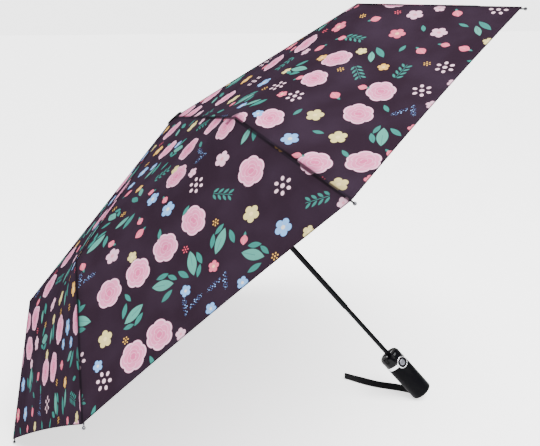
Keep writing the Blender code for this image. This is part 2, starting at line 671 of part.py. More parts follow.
# Button, facing outwards along its own +z, set in the bezel's pocket.
FLOOR_TOP = BEZEL_SEAT + BEZEL_FLOOR
WALL_IN = BUTTON_R + CLEAR
bezel_profile = [
    (STEM_R + CLEAR, BEZEL_SEAT), (BEZEL_R, BEZEL_SEAT), (BEZEL_R, BEZEL_OUT - 0.0008),
    (BEZEL_R - 0.0008, BEZEL_OUT), (RING_R, BEZEL_OUT), (RING_R, BEZEL_OUT - 0.0018),
    (WALL_IN, BEZEL_OUT - 0.0018), (WALL_IN, FLOOR_TOP), (STEM_R + CLEAR, FLOOR_TOP),
]
add("button_bezel", turned("button_bezel", bezel_profile, 24), "chrome", button_place)
ring_low = BEZEL_OUT - 0.0018 + CLEAR
ring_profile = [
    (WALL_IN, ring_low), (RING_R - CLEAR, ring_low), (RING_R - CLEAR, BEZEL_OUT - 0.0003),
    (WALL_IN, BEZEL_OUT - 0.0005),
]
add("button_ring", turned("button_ring", ring_profile, 24), "gloss_black", button_place)
head_low = BUTTON_FACE - BUTTON_HEAD
button_profile = [
    (0, head_low - 0.0035), (STEM_R, head_low - 0.0035), (STEM_R, head_low), (BUTTON_R, head_low),
    (BUTTON_R, BUTTON_FACE - 0.0005), (BUTTON_R - 0.0006, BUTTON_FACE), (0, BUTTON_FACE + 0.0002),
]
add("button", turned("button", button_profile, 24), "button_grey", button_place)

SPRING_R = 0.0032
SPRING_LOW = FLOOR_TOP + SPRING_WIRE + 0.0001
SPRING_HIGH = head_low - SPRING_WIRE - 0.0001
SPRING_TURNS = 2.5
coil = bpy.data.curves.new("button_spring", "CURVE")
coil.dimensions = "3D"
coil.bevel_depth = SPRING_WIRE
coil.bevel_resolution = 1
coil.use_fill_caps = True
line = coil.splines.new("POLY")
SPRING_POINTS = 26
line.points.add(SPRING_POINTS)
for k in range(SPRING_POINTS + 1):
    share = k / SPRING_POINTS
    a = 2 * math.pi * SPRING_TURNS * share
    z = SPRING_LOW + (SPRING_HIGH - SPRING_LOW) * share
    line.points[k].co = (SPRING_R * math.cos(a), SPRING_R * math.sin(a), z, 1)
spring = bpy.data.objects.new("button_spring", coil)
bpy.context.collection.objects.link(spring)
spring.parent = ROOT
spring.matrix_local = button_place
coil.materials.append(MATERIALS["steel"])


# ------------------------------------------------------- laying the umbrella
HALF = math.pi / RIB_COUNT


def lowest(lean):
    """Floor contact heights of the rib beads and of the handle's rounded rim."""
    bead_low = TIP_Z * math.sin(lean) - TIP_R * math.cos(HALF) * math.cos(lean) - BEAD_R
    rim = HANDLE_EDGE * math.sin(lean) - (HANDLE_R - HANDLE_EDGE) * math.cos(lean) - HANDLE_EDGE
    return bead_low, rim


low_lean = math.radians(20)
high_lean = math.radians(80)
for step in range(60):
    lean = (low_lean + high_lean) / 2
    tips, rim = lowest(lean)
    if tips < rim:
        low_lean = lean
    else:
        high_lean = lean
LEAN = (low_lean + high_lean) / 2
ROOT.rotation_euler = (0, LEAN - math.pi / 2, 0)
bpy.context.view_layer.update()
graph = bpy.context.evaluated_depsgraph_get()
low = [1e9, 1e9, 1e9]
high = [-1e9, -1e9, -1e9]
for obj in list(bpy.data.objects):
    if obj.type not in {"MESH", "CURVE"}:
        continue
    shape = obj.evaluated_get(graph).to_mesh()
    for vert in shape.vertices:
        spot = obj.matrix_world @ vert.co
        for k in range(3):
            low[k] = min(low[k], spot[k])
            high[k] = max(high[k], spot[k])
ROOT.location = (-(low[0] + high[0]) / 2, -(low[1] + high[1]) / 2, -low[2])
bpy.context.view_layer.update()

# --------------------------------------------------------------- wrist strap
# A flat ribbon loop standing on its edge on the floor.  Its root starts just
# clear of the handle's anchor; its two runs lie side by side and join in a
# hairpin at the far end.
ANCHOR = ROOT.matrix_world @ anchor_local
STRAP_ROUTE = [
    (0.0, 0.0), (-0.0150, 0.0075), (-0.0330, 0.0140), (-0.0560, 0.0215), (-0.0800, 0.0320),
    (-0.1040, 0.0460),
]
STRAP_STEPS = 5


def smooth_route(points, steps):
    """Catmull-Rom curve through the route points."""
    ends = [points[0]] + points + [points[-1]]
    out = []
    for i in range(1, len(ends) - 2):
        p0, p1, p2, p3 = (Vector(p) for p in ends[i - 1:i + 3])
        for k in range(steps):
            t = k / steps
            a = 2 * p1 + (p2 - p0) * t
            b = (2 * p0 - 5 * p1 + 4 * p2 - p3) * t * t
            c = (3 * p1 - p0 - 3 * p2 + p3) * t ** 3
            out.append((a + b + c) / 2)
    out.append(Vector(points[-1]))
    return out


def offset_line(points, amount):
    out = []
    for k, point in enumerate(points):
        ahead = points[min(k + 1, len(points) - 1)] - points[max(k - 1, 0)]
        side = Vector((-ahead.y, ahead.x)).normalized()
        out.append(point + side * amount)
    return out


centre = smooth_route(STRAP_ROUTE, STRAP_STEPS)
inside = STRAP_GAP / 2
outside = inside + STRAP_T
tail = centre[-1]
ahead = (centre[-1] - centre[-2]).normalized()
outer_end = []
inner_end = []
for k in range(1, 6):
    a = math.pi * k / 6
    side = Vector((-ahead.y, ahead.x))
    outer_end.append(tail + side * outside * math.cos(a) + ahead * outside * math.sin(a))
    inner_end.append(tail + side * inside * math.cos(a) + ahead * inside * math.sin(a))
outer_path = offset_line(centre, outside) + outer_end + list(reversed(offset_line(centre, -outside)))
inner_path = offset_line(centre, inside) + inner_end + list(reversed(offset_line(centre, -inside)))
strap_verts = []
for height in (STRAP_LIFT, STRAP_LIFT + STRAP_W):
    for path in (outer_path, inner_path):
        strap_verts += [(p.x + ANCHOR.x, p.y + ANCHOR.y, height) for p in path]
count = len(outer_path)
strap_faces = []
for k in range(count - 1):
    o, i = k, count + k
    strap_faces.append([o, o + 1, i + 1, i])
    strap_faces.append([2 * count + o, 2 * count + i, 2 * count + i + 1, 2 * count + o + 1])
    strap_faces.append([o, 2 * count + o, 2 * count + o + 1, o + 1])
    strap_faces.append([i, i + 1, 2 * count + i + 1, 2 * count + i])
for k in (0, count - 1):
    strap_faces.append([k, count + k, 3 * count + k, 2 * count + k])
strap = bpy.data.objects.new("wrist_strap", mesh_from("wrist_strap", strap_verts, strap_faces))
bpy.context.collection.objects.link(strap)
strap.data.materials.append(MATERIALS["strap_black"])
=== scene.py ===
"""Folding umbrella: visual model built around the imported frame."""
import json
import math

import bmesh
import bpy
from mathutils import Matrix, Vector


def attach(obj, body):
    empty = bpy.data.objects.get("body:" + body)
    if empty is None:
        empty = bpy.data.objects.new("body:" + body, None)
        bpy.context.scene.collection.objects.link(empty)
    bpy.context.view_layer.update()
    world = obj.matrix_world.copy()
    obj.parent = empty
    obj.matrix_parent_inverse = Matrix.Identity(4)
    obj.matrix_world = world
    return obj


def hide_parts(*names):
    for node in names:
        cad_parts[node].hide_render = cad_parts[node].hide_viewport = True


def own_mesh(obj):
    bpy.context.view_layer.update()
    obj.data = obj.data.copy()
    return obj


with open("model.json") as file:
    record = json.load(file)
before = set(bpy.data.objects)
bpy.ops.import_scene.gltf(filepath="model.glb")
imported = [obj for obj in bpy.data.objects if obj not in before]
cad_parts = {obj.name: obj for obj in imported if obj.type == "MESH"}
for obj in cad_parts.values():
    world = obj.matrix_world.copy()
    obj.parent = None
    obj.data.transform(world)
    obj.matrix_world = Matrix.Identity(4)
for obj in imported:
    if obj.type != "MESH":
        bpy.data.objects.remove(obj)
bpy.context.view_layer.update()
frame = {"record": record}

# ------------------------------------------------------------ the frame's axes
JOINTS = {joint["name"]: joint for joint in frame["record"]["behaviour"]["joints"]}
MOUNTS = {mount["name"]: mount for mount in frame["record"]["mounts"]}
HANDLE_END = Vector(MOUNTS["handle_end"]["pos_m"])
SHAFT = -Vector(JOINTS["upper_tube_slide"]["axis"]).normalized()
SIDE = Vector((0, 1, 0))
RISE = SIDE.cross(SHAFT).normalized()
TO_ROW = Matrix.Translation(HANDLE_END) @ Matrix((RISE, SIDE, SHAFT)).transposed().to_4x4()

# ------------------------------- sizes of the umbrella along its own shaft axis
RIBS = 8
FIRST_RIB = math.radians(202.5)      # turn of rib 1 round the shaft
LENGTH = 0.5756                      # handle's end to the top of the cap
CAP_R = 0.0140
HUB_Z = LENGTH - 0.0031              # where the cloth starts under the cap
SLOPE = math.radians(9.76)           # fall of the inner and middle ribs
OUTER_SLOPE = math.radians(39.9)     # fall of the outer ribs
BEND_R = 0.33340                     # outer knee
BEND_Z = HUB_Z - (BEND_R - CAP_R) * math.tan(SLOPE)
PIVOT_R = 0.0110
INNER_LEN = 0.1630
KNEE_R = PIVOT_R + INNER_LEN * math.cos(SLOPE)
TIP_R = 0.48503                      # end of the outer rib
TIP_Z = LENGTH - 0.19154
CORNER_BACK = 0.0035                 # the corner is sewn this far short of the tip
CORNER_LIFT = 0.0026                 # and this far above the rib
CORNER_R = TIP_R - CORNER_BACK * math.cos(OUTER_SLOPE) + CORNER_LIFT * math.sin(OUTER_SLOPE)
CORNER_Z = TIP_Z + CORNER_BACK * math.sin(OUTER_SLOPE) + CORNER_LIFT * math.cos(OUTER_SLOPE)
HEM_SCALLOP = 0.0040
CLOTH_T = 0.0003
HANDLE_R = 0.0166


def deselect():
    """Leave edit mode and select nothing."""
    if bpy.context.object and bpy.context.object.mode != "OBJECT":
        bpy.ops.object.mode_set(mode="OBJECT")
    bpy.ops.object.select_all(action="DESELECT")


# --------------------------------------------------------------------- camera
CAMERA_PLACE = (0.1334, -1.2129, 0.6042)
LENS = 55.43
YAW = math.radians(-5.548)
PITCH = math.radians(14.854)
ROLL = math.radians(-0.673)
camera_data = bpy.data.cameras.new("view_camera")
camera = bpy.data.objects.new("view_camera", camera_data)
bpy.context.collection.objects.link(camera)
camera_data.lens = LENS
camera_data.sensor_width = 36.0
camera_data.clip_start = 0.05
forward = Vector(
    (math.sin(YAW) * math.cos(PITCH), math.cos(YAW) * math.cos(PITCH), -math.sin(PITCH))
)
level = Vector((math.cos(YAW), -math.sin(YAW), 0))
upward = level.cross(forward)
right = level * math.cos(ROLL) + upward * math.sin(ROLL)
top = -level * math.sin(ROLL) + upward * math.cos(ROLL)
turned_camera = Matrix((right, top, -forward)).transposed().to_4x4()
camera.matrix_world = Matrix.Translation(CAMERA_PLACE) @ turned_camera
bpy.context.scene.camera = camera


# --------------------------------------------------------------- node writing
class Wiring:
    """Short calls for building a node tree."""

    def __init__(self, tree):
        self.tree = tree

    def put(self, kind, **settings):
        node = self.tree.nodes.new(kind)
        for key, value in settings.items():
            setattr(node, key, value)
        return node

    def join(self, source, target):
        """A number or a tuple is set on the socket; an output is linked to it."""
        if isinstance(source, (int, float, tuple)):
            target.default_value = source
        else:
            self.tree.links.new(source, target)

    def m(self, operation, a, b=None, c=None, clamp=False):
        """One maths node."""
        node = self.put("ShaderNodeMath", operation=operation, use_clamp=clamp)
        for value, socket in zip((a, b, c), node.inputs):
            if value is not None:
                self.join(value, socket)
        return node.outputs[0]

    def add(self, a, b):
        return self.m("ADD", a, b)

    def sub(self, a, b):
        return self.m("SUBTRACT", a, b)

    def mul(self, a, b):
        return self.m("MULTIPLY", a, b)

    def mix(self, share, a, b, blend="MIX"):
        node = self.put("ShaderNodeMix", data_type="RGBA", blend_type=blend)
        self.join(share, node.inputs[0])
        self.join(a, node.inputs[6])
        self.join(b, node.inputs[7])
        return node.outputs[2]

    def inside(self, distance, soft=0.0003):
        """1 where the signed distance is negative, with an edge as wide as soft."""
        return self.m("SUBTRACT", 0.5, self.m("DIVIDE", distance, soft), clamp=True)

    def split(self, vector):
        node = self.put("ShaderNodeSeparateXYZ")
        self.join(vector, node.inputs[0])
        return node.outputs

    def vector(self, x, y, z=0.0):
        node = self.put("ShaderNodeCombineXYZ")
        for value, socket in zip((x, y, z), node.inputs):
            self.join(value, socket)
        return node.outputs[0]

    def noise(self, vector, scale, detail=2.0, rough=0.5):
        node = self.put("ShaderNodeTexNoise")
        self.join(vector, node.inputs["Vector"])
        node.inputs["Scale"].default_value = scale
        node.inputs["Detail"].default_value = detail
        node.inputs["Roughness"].default_value = rough
        return node.outputs["Fac"]

    def use(self, group, **values):
        """A node group with its inputs set by name; At_X means the socket At X."""
        node = self.put("ShaderNodeGroup")
        node.node_tree = group
        for key, value in values.items():
            self.join(value, node.inputs[key.replace("_", " ")])
        return node.outputs


def new_group(name, inputs, outputs):
    """A node group with float or vector sockets; returns it with its wiring."""
    group = bpy.data.node_groups.new(name, "ShaderNodeTree")
    for label, kind in inputs:
        group.interface.new_socket(label, in_out="INPUT", socket_type="NodeSocket" + kind)
    for label, kind in outputs:
        group.interface.new_socket(label, in_out="OUTPUT", socket_type="NodeSocket" + kind)
    wires = Wiring(group)
    start = wires.put("NodeGroupInput")
    end = wires.put("NodeGroupOutput")
    return group, wires, start.outputs, end.inputs


XY = [("X", "Float"), ("Y", "Float")]
SECOND_DRAW = 5.3        # sets the picks apart from the places


def scatter_group():
    """Rows of cells, every other row shifted: each gives one motif's own axes and picks."""
    group, w, given, out = new_group(
        "motif_scatter",
        [("Vector", "Vector"), ("Cell", "Float"), ("Jitter", "Float"), ("Seed", "Float")],
        XY + [("Pick", "Float"), ("Tint", "Float")],
    )
    x, y, _ = w.split(given["Vector"])
    cell = given["Cell"]
    ys = w.m("DIVIDE", y, cell)
    row = w.m("FLOOR", ys)
    shift = w.m("FRACT", w.mul(row, 0.5))
    xs = w.add(w.m("DIVIDE", x, cell), shift)
    column = w.m("FLOOR", xs)
    place = w.vector(column, row, given["Seed"])
    chance = w.put("ShaderNodeTexWhiteNoise", noise_dimensions="3D")
    w.join(place, chance.inputs["Vector"])
    second_chance = w.put("ShaderNodeTexWhiteNoise", noise_dimensions="4D")
    w.join(place, second_chance.inputs["Vector"])
    second_chance.inputs["W"].default_value = SECOND_DRAW
    r, g, b = w.split(chance.outputs["Color"])
    px = w.sub(w.sub(w.m("FRACT", xs), 0.5), w.mul(w.sub(r, 0.5), given["Jitter"]))
    py = w.sub(w.sub(w.m("FRACT", ys), 0.5), w.mul(w.sub(g, 0.5), given["Jitter"]))
    px = w.mul(px, cell)
    py = w.mul(py, cell)
    angle = w.mul(b, 2 * math.pi)
    cosine = w.m("COSINE", angle)
    sine = w.m("SINE", angle)
    w.join(w.sub(w.mul(px, cosine), w.mul(py, sine)), out["X"])
    w.join(w.add(w.mul(px, sine), w.mul(py, cosine)), out["Y"])
    w.join(second_chance.outputs["Value"], out["Pick"])
    w.join(w.split(second_chance.outputs["Color"])[1], out["Tint"])
    return group


def polar(w, x, y):
    """Distance from the motif's middle, and the angle round it."""
    radius = w.m("SQRT", w.add(w.mul(x, x), w.mul(y, y)))
    return radius, w.m("ARCTAN2", y, x)


def flower_group():
    """Five round petals with a small middle and lines between the petals."""
    group, w, given, out = new_group(
        "five_petal_flower", XY + [("Radius", "Float")],
        [("Mask", "Float"), ("Middle", "Float"), ("Lines", "Float")],
    )
    radius, angle = polar(w, given["X"], given["Y"])
    lobe = w.m("ABSOLUTE", w.m("COSINE", w.mul(angle, 2.5)))
    lobe = w.m("POWER", lobe, 0.55)
    edge = w.mul(given["Radius"], w.add(0.60, w.mul(lobe, 0.40)))
    w.join(w.inside(w.sub(radius, edge), 0.0005), out["Mask"])
    w.join(w.inside(w.sub(radius, w.mul(given["Radius"], 0.24)), 0.0006), out["Middle"])
    gap = w.m("SUBTRACT", 0.52, lobe, clamp=True)
    heart = w.m("LESS_THAN", radius, w.mul(given["Radius"], 0.62))
    w.join(w.mul(w.m("MULTIPLY", gap, 3.0, clamp=True), heart), out["Lines"])
    return group


# each ring of petals: reach, petals, turn, depth of the dents and width of the light edge,
# as shares of the rose's radius
ROSE_RINGS = (
    (0.97, 6, 0.0, 0.14, 0.050), (0.70, 4, 1.3, 0.20, 0.036),
    (0.46, 3, 0.4, 0.17, 0.034), (0.25, 2, 2.2, 0.12, 0.030),
)


def rose_group():
    """Round bloom in four swirling rings of petals, their edges drawn lighter than their faces."""
    group, w, given, out = new_group(
        "rose_bloom", XY + [("Radius", "Float"), ("Turn", "Float")],
        [("Mask", "Float"), ("Depth", "Float"), ("Lines", "Float")],
    )
    radius, angle = polar(w, given["X"], w.mul(given["Y"], 1.10))
    share = w.m("DIVIDE", radius, given["Radius"])
    slow = w.mul(w.m("SINE", w.add(w.mul(angle, 2.0), given["Turn"])), 0.035)
    lines = 0.0
    depth = 0.0
    mask = 0.0
    for reach, lobes, turn, dent, width in ROSE_RINGS:
        outer = reach == ROSE_RINGS[0][0]
        swirl = w.mul(share, 0.0 if outer else 3.2)
        start = w.add(w.add(w.mul(given["Turn"], 0.7), turn), swirl)
        lobe = w.m("ABSOLUTE", w.m("COSINE", w.add(w.mul(angle, lobes / 2), start)))
        edge = w.add(reach - dent, w.add(w.mul(w.m("POWER", lobe, 0.6), dent), slow))
        ring = w.sub(share, edge)
        if outer:
            mask = w.inside(ring, 0.03)
            drawn = w.inside(w.sub(w.m("ABSOLUTE", w.add(ring, width)), width), 0.03)
            lines = w.mul(drawn, 0.95)
        else:
            drawn = w.inside(w.sub(w.m("ABSOLUTE", ring), width * 0.62), 0.03)
            lines = w.m("MAXIMUM", lines, w.mul(drawn, 0.62))
        depth = w.add(depth, w.mul(w.inside(ring, 0.16), 0.25))
    streak = w.m("SINE", w.add(w.mul(angle, 9.0), w.mul(share, 8.0)))
    shade = w.m("MULTIPLY", w.m("MULTIPLY", streak, 0.10), share)
    w.join(mask, out["Mask"])
    w.join(w.m("ADD", depth, shade, clamp=True), out["Depth"])
    w.join(lines, out["Lines"])
    return group


def leaf_group():
    """Pointed leaf at a place and angle in the motif's axes, with a midrib."""
    group, w, given, out = new_group(
        "single_leaf",
        XY + [(label, "Float") for label in ("At X", "At Y", "Angle", "Long", "Wide")],
        [("Mask", "Float"), ("Vein", "Float")],
    )
    x = w.sub(given["X"], given["At X"])
    y = w.sub(given["Y"], given["At Y"])
    cosine = w.m("COSINE", given["Angle"])
    sine = w.m("SINE", given["Angle"])
    along = w.add(w.mul(x, cosine), w.mul(y, sine))
    across = w.m("ABSOLUTE", w.sub(w.mul(y, cosine), w.mul(x, sine)))
    share = w.m("DIVIDE", w.mul(along, 2.0), given["Long"])
    bulge = w.m("SUBTRACT", 1.0, w.mul(share, share))
    body = w.mul(w.mul(given["Wide"], 0.5), bulge)
    mask = w.inside(w.sub(across, body), 0.0005)
    w.join(mask, out["Mask"])
    rib = w.m("SUBTRACT", 1.0, w.m("DIVIDE", across, 0.0006), clamp=True)
    half = w.m("GREATER_THAN", along, w.mul(given["Long"], -0.1))
    w.join(w.mul(w.mul(rib, half), mask), out["Vein"])
    return group


def dots_group():
    """Six oval dots round a seventh."""
    group, w, given, out = new_group("dot_cluster", XY + [("Spread", "Float")], [("Mask", "Float")])
    radius, angle = polar(w, given["X"], given["Y"])
    sector = math.pi / 3
    turn = w.sub(w.m("FLOORED_MODULO", angle, sector), sector / 2)
    px = w.sub(w.mul(radius, w.m("COSINE", turn)), given["Spread"])
    py = w.mul(w.mul(radius, w.m("SINE", turn)), 1.25)
    ring = w.m("SQRT", w.add(w.mul(px, px), w.mul(py, py)))
    dot = w.mul(given["Spread"], 0.30)
    both = w.m("MINIMUM", w.sub(ring, dot), w.sub(radius, dot))
    w.join(w.inside(both, 0.0005), out["Mask"])
    return group


def sprig_group():
    """A stem with pairs of small slanting leaves."""
    group, w, given, out = new_group("leaf_sprig", XY + [("Leaf", "Float")], [("Mask", "Float")])
    x = w.m("ABSOLUTE", given["X"])
    step = w.mul(given["Leaf"], 0.80)
    y = w.sub(w.m("FLOORED_MODULO", given["Y"], step), w.mul(step, 0.5))
    blade = w.use(
        LEAF, X=x, Y=y, At_X=w.mul(given["Leaf"], 0.42), At_Y=0.0, Angle=0.86,
        Long=w.mul(given["Leaf"], 0.95), Wide=w.mul(given["Leaf"], 0.33),
    )
    reach = w.m("LESS_THAN", w.m("ABSOLUTE", given["Y"]), w.mul(given["Leaf"], 1.5))
    stem = w.inside(w.sub(x, 0.0003), 0.0003)
    w.join(w.mul(w.m("MAXIMUM", blade["Mask"], stem), reach), out["Mask"])
    return group


def lavender_group():
    """Two drooping heads of tiny blue grains, one a little lower than the other."""
    group, w, given, out = new_group(
        "lavender_heads", XY, [("Mask", "Float"), ("Tone", "Float")]
    )
    y = w.add(given["Y"], w.mul(w.m("SIGN", given["X"]), 0.0040))
    x = w.sub(w.m("ABSOLUTE", given["X"]), w.add(0.0060, w.mul(y, -0.48)))
    grain = 0.0027
    row = w.m("FLOOR", w.m("DIVIDE", y, grain))
    xs = w.add(w.m("DIVIDE", x, grain), w.m("FRACT", w.mul(row, 0.5)))
    place = w.vector(w.m("FLOOR", xs), row, 3.0)
    chance = w.put("ShaderNodeTexWhiteNoise", noise_dimensions="3D")
    w.join(place, chance.inputs["Vector"])
    sway = w.split(chance.outputs["Color"])
    gx = w.sub(w.sub(w.m("FRACT", xs), 0.5), w.mul(w.sub(sway[1], 0.5), 0.5))
    ys = w.m("DIVIDE", y, grain)
    gy = w.sub(w.sub(w.m("FRACT", ys), 0.5), w.mul(w.sub(sway[2], 0.5), 0.5))
    round_grain = w.m("SQRT", w.add(w.mul(gx, gx), w.mul(gy, gy)))
    size = w.add(0.12, w.mul(chance.outputs["Value"], 0.14))
    head = w.add(w.mul(x, x), w.mul(w.mul(y, y), 0.18))
    head_mask = w.m("LESS_THAN", w.m("SQRT", head), 0.0038)
    w.join(w.mul(w.inside(w.sub(round_grain, size), 0.12), head_mask), out["Mask"])
    w.join(w.split(chance.outputs["Color"])[0], out["Tone"])
    return group


SCATTER = scatter_group()
FLOWER = flower_group()
ROSE = rose_group()
LEAF = leaf_group()
DOTS = dots_group()
SPRIG = sprig_group()
LAVENDER = lavender_group()

PLUM = (0.0155, 0.0088, 0.0145, 1)
ROSE_PINK = (0.46, 0.085, 0.20, 1)
ROSE_PALE = (0.57, 0.20, 0.34, 1)
ROSE_RIM = (0.62, 0.36, 0.47, 1)
TEAL = (0.022, 0.140, 0.118, 1)
MINT = (0.055, 0.215, 0.175, 1)
BLUE = (0.13, 0.29, 0.56, 1)
CREAM = (0.50, 0.42, 0.16, 1)
GOLD = (0.52, 0.29, 0.060, 1)
PINK = (0.50, 0.095, 0.15, 1)
PALE = (0.56, 0.32, 0.42, 1)
RED = (0.45, 0.06, 0.09, 1)
PETAL_LINE = (0.40, 0.28, 0.30, 1)
FLOWER_EYE = (0.80, 0.62, 0.30, 1)
LEAF_VEIN = (0.03, 0.09, 0.09, 1)
BUD_LINE = (0.80, 0.42, 0.50, 1)
DOT_PINK = (0.60, 0.41, 0.48, 1)
LAVENDER_DARK = (0.020, 0.055, 0.20, 1)
LAVENDER_LIGHT = (0.22, 0.42, 0.78, 1)
# painted shade beside the seams, also used for the darker hem lines; then the near-black seam line,
# which also carries painted fold shadow
SEAM_SHADE = (0.010, 0.006, 0.009, 1)
SEAM_AND_FOLD_SHADOW = (0.004, 0.003, 0.004, 1)
CLOTH_BLOOM = (0.050, 0.034, 0.058, 1)
CLOTH_BACK = (0.020, 0.012, 0.017, 1)

# the print's repeat: one big and one small motif in each cell, in metres
CELL = 0.043
SMALL_SHIFT = (0.0, 0.0215, 0.0)
ROSE_R = 0.0190
BIG_FLOWER_R = 0.0100
SMALL_FLOWER_R = 0.0068
DOTS_R = 0.0085
SPECKS_R = 0.0034
SPRIG_LEAF = 0.0090

# sprays of leaves: share of the cells, then each leaf's place, angle, length, width and ink
LEAF_SPRAYS = (
    (0.55, 0.66, (
        (0.0, 0.001, 1.45, 0.030, 0.0120, MINT), (-0.0100, 0.004, 1.2, 0.0170, 0.0062, TEAL),
        (-0.0085, -0.0105, 1.9, 0.0150, 0.0055, TEAL), (0.0120, -0.0080, 0.7, 0.0180, 0.0065, TEAL),
    )),
    (0.66, 0.76, (
        (0.0, 0.0060, 0.55, 0.0240, 0.0080, TEAL), (0.0030, -0.0060, 0.95, 0.0220, 0.0075, MINT),
    )),
)


def between(w, value, low, high):
    """1 where the value lies between low and high."""
    return w.mul(w.m("GREATER_THAN", value, low), w.m("LESS_THAN", value, high))


def floral_print(w, place):
    """Colour of the printed cloth at a flat position in metres."""
    big = w.use(SCATTER, Vector=place, Cell=CELL, Jitter=0.12, Seed=2.0)
    small_place = w.put("ShaderNodeVectorMath", operation="ADD")
    w.join(place, small_place.inputs[0])
    small_place.inputs[1].default_value = SMALL_SHIFT
    small = w.use(SCATTER, Vector=small_place.outputs[0], Cell=CELL, Jitter=0.10, Seed=9.0)
    x, y, pick, tint = (big[k] for k in ("X", "Y", "Pick", "Tint"))
    sx, sy, spick, stint = (small[k] for k in ("X", "Y", "Pick", "Tint"))
    colour = PLUM

    def layer(colour, mask, low, high, ink, chooser=pick):
        """The motif's ink over the colour, in the cells whose pick lies between low and high."""
        return w.mix(w.mul(mask, between(w, chooser, low, high)), colour, ink)

    rose = w.use(ROSE, X=x, Y=y, Radius=ROSE_R, Turn=w.mul(tint, 6.28))
    ink = w.mix(rose["Depth"], ROSE_PALE, ROSE_PINK)
    ink = w.mix(rose["Lines"], ink, ROSE_RIM)
    colour = layer(colour, rose["Mask"], -0.1, 0.30, ink)

    def flower_ink(choice):
        """Blue, cream, gold, pink or pale, by the flower's own draw."""
        ink = w.mix(w.m("GREATER_THAN", choice, 0.30), BLUE, CREAM)
        ink = w.mix(w.m("GREATER_THAN", choice, 0.50), ink, GOLD)
        ink = w.mix(w.m("GREATER_THAN", choice, 0.68), ink, PINK)
        return w.mix(w.m("GREATER_THAN", choice, 0.84), ink, PALE)

    for chooser, fx, fy, size, choice, low, high in (
        (pick, x, y, BIG_FLOWER_R, tint, 0.30, 0.55),
        (spick, sx, sy, SMALL_FLOWER_R, stint, 0.0, 0.24),
    ):
        flower = w.use(FLOWER, X=fx, Y=fy, Radius=size)
        ink = flower_ink(choice)
        ink = w.mix(w.mul(flower["Lines"], 0.45), ink, PETAL_LINE)
        middle = w.mix(w.m("GREATER_THAN", choice, 0.84), FLOWER_EYE, PINK)
        ink = w.mix(w.mul(flower["Middle"], 0.55), ink, middle)
        colour = layer(colour, flower["Mask"], low, high, ink, chooser)

    for low, high, leaves in LEAF_SPRAYS:
        for at_x, at_y, angle, long, wide, ink in leaves:
            leaf = w.use(
                LEAF, X=x, Y=y, At_X=at_x, At_Y=at_y, Angle=angle, Long=long, Wide=wide
            )
            ink = w.mix(w.mul(leaf["Vein"], 0.75), ink, LEAF_VEIN)
            colour = layer(colour, leaf["Mask"], low, high, ink)
    single = w.use(
        LEAF, X=sx, Y=sy, At_X=0.0, At_Y=0.0, Angle=0.4, Long=0.0140, Wide=0.0052
    )
    colour = layer(colour, single["Mask"], 0.24, 0.46, TEAL, spick)

    for chooser, bx, by, size, low, high in (
        (pick, x, y, 1.0, 0.76, 0.83), (spick, sx, sy, 0.8, 0.46, 0.60),
    ):
        calyx = w.use(
            LEAF, X=bx, Y=by, At_X=-0.0072 * size, At_Y=0.0, Angle=0.0, Long=0.0070, Wide=0.0032
        )
        bud = w.use(
            LEAF, X=bx, Y=by, At_X=0.0, At_Y=0.0, Angle=0.0,
            Long=0.0140 * size, Wide=0.0115 * size,
        )
        colour = layer(colour, calyx["Mask"], low, high, TEAL, chooser)
        ink = w.mix(w.mul(bud["Vein"], 0.35), PINK, BUD_LINE)
        colour = layer(colour, bud["Mask"], low, high, ink, chooser)

    dots = w.use(DOTS, X=x, Y=y, Spread=DOTS_R)
    colour = layer(colour, dots["Mask"], 0.83, 0.89, DOT_PINK)
    lavender = w.use(LAVENDER, X=x, Y=y)
    ink = w.mix(lavender["Tone"], LAVENDER_DARK, LAVENDER_LIGHT)
    colour = layer(colour, lavender["Mask"], 0.89, 0.945, ink)
    sprig = w.use(SPRIG, X=x, Y=y, Leaf=SPRIG_LEAF)
    colour = layer(colour, sprig["Mask"], 0.945, 1.1, TEAL)
    specks = w.use(DOTS, X=sx, Y=sy, Spread=SPECKS_R)
    ink = w.mix(w.m("GREATER_THAN", stint, 0.5), GOLD, RED)
    colour = layer(colour, specks["Mask"], 0.60, 0.70, ink, spick)
    return colour


def new_material(name, base, roughness, metallic=0.0):
    """A Principled material, the wiring of its tree and its shader."""
    mat = bpy.data.materials.new(name)
    mat.use_nodes = True
    shader = mat.node_tree.nodes["Principled BSDF"]
    shader.inputs["Base Color"].default_value = (*base, 1)
    shader.inputs["Roughness"].default_value = roughness
    shader.inputs["Metallic"].default_value = metallic
    return mat, Wiring(mat.node_tree), shader


def add_bump(w, shader, height, strength, distance):
    """Relief from a height map."""
    bump = w.put("ShaderNodeBump")
    bump.inputs["Strength"].default_value = strength
    bump.inputs["Distance"].default_value = distance
    w.join(height, bump.inputs["Height"])
    w.join(bump.outputs[0], shader.inputs["Normal"])


def grain_group():
    """Fine surface mottle on object coordinates: a value round 0.5 and a soft wear mask."""
    group, w, given, out = new_group(
        "surface_grain", [("Vector", "Vector"), ("Scale", "Float")],
        [("Grain", "Float"), ("Wear", "Float")],
    )
    for label, factor, detail, target in (
        ("fine", 1.0, 3.0, "Grain"), ("broad", 0.06, 2.0, "Wear"),
    ):
        node = w.put("ShaderNodeTexNoise", label=label)
        w.join(given["Vector"], node.inputs["Vector"])
        w.join(w.mul(given["Scale"], factor), node.inputs["Scale"])
        node.inputs["Detail"].default_value = detail
        w.join(node.outputs["Fac"], out[target])
    return group


GRAIN = grain_group()


WEAVE = 0.0009           # pitch of the cloth's weave and of the strap's cross ribs
SELVEDGE = 0.0006        # pitch across the strap


